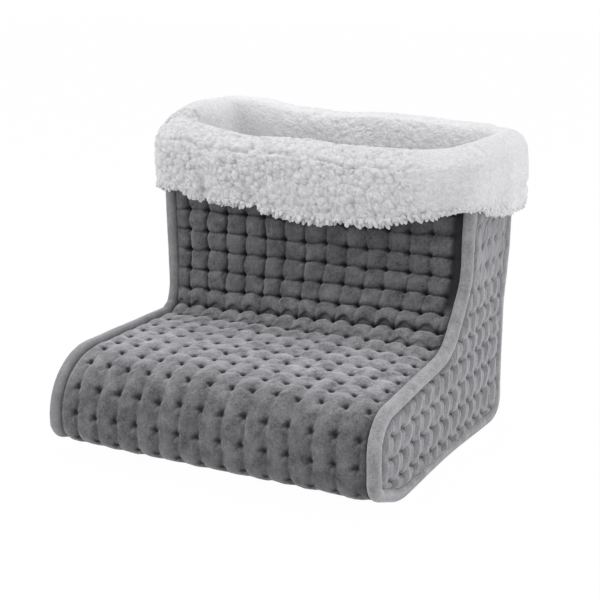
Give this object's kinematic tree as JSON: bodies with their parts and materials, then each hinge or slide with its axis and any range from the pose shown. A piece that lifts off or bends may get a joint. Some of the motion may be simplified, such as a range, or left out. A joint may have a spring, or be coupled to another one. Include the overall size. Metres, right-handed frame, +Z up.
{
  "type": "electric foot warmer",
  "caption": "Boot-shaped quilted foot warmer with rolled edge bindings, a turned-down sherpa fleece cuff and lining, and a heating pad under the sole.",
  "frame": {"origin": "on the floor, at the middle of the width and depth of the whole part", "axes": "+Z up, the toe towards -Y, the width along X; left and right are as seen from the front, facing the toe"},
  "size_m": [0.3244, 0.307, 0.2728],
  "materials": {
    "plush": "mid grey micro plush, quilted",
    "binding": "grey plush roll, brushed",
    "non_slip_base": "dark woven base cloth with rubber dots",
    "sherpa": "white curly fleece",
    "foam": "off-white polyester foam board",
    "felt": "thin needle felt",
    "wire_insulation": "silicone insulation",
    "cutout_case": "dark phenolic case",
    "shrink_sleeve": "amber insulating sleeve",
    "inlet_plastic": "fine matt black plastic",
    "contact_brass": "plain brass",
    "plated_steel": "plated sheet steel"
  },
  "bodies": {
    "root": {"front_panel": "plush", "back_panel": "plush", "side_panel_left": "plush", "side_panel_right": "plush", "binding_left": "binding", "binding_right": "binding", "base_panel": "non_slip_base", "cuff": "sherpa", "liner_front": "sherpa", "liner_back": "sherpa", "liner_left": "sherpa", "liner_right": "sherpa", "liner_sole": "sherpa", "board_front": "foam", "board_back": "foam", "board_left": "foam", "board_right": "foam", "board_base": "foam", "heater_carrier": "felt", "heater_cover": "felt", "inlet_patch": "felt", "heating_wire": "wire_insulation", "lead_live": "wire_insulation", "lead_neutral": "wire_insulation", "thermal_cutout_left": "cutout_case", "thermal_cutout_right": "cutout_case", "cutout_sleeve_left": "shrink_sleeve", "cutout_sleeve_right": "shrink_sleeve", "inlet_bezel": "inlet_plastic", "inlet_housing": "inlet_plastic", "inlet_pin_live": "contact_brass", "inlet_pin_neutral": "contact_brass", "inlet_backing_plate": "plated_steel", "inlet_rivet_left": "plated_steel", "inlet_rivet_right": "plated_steel"}
  },
  "joints": []
}
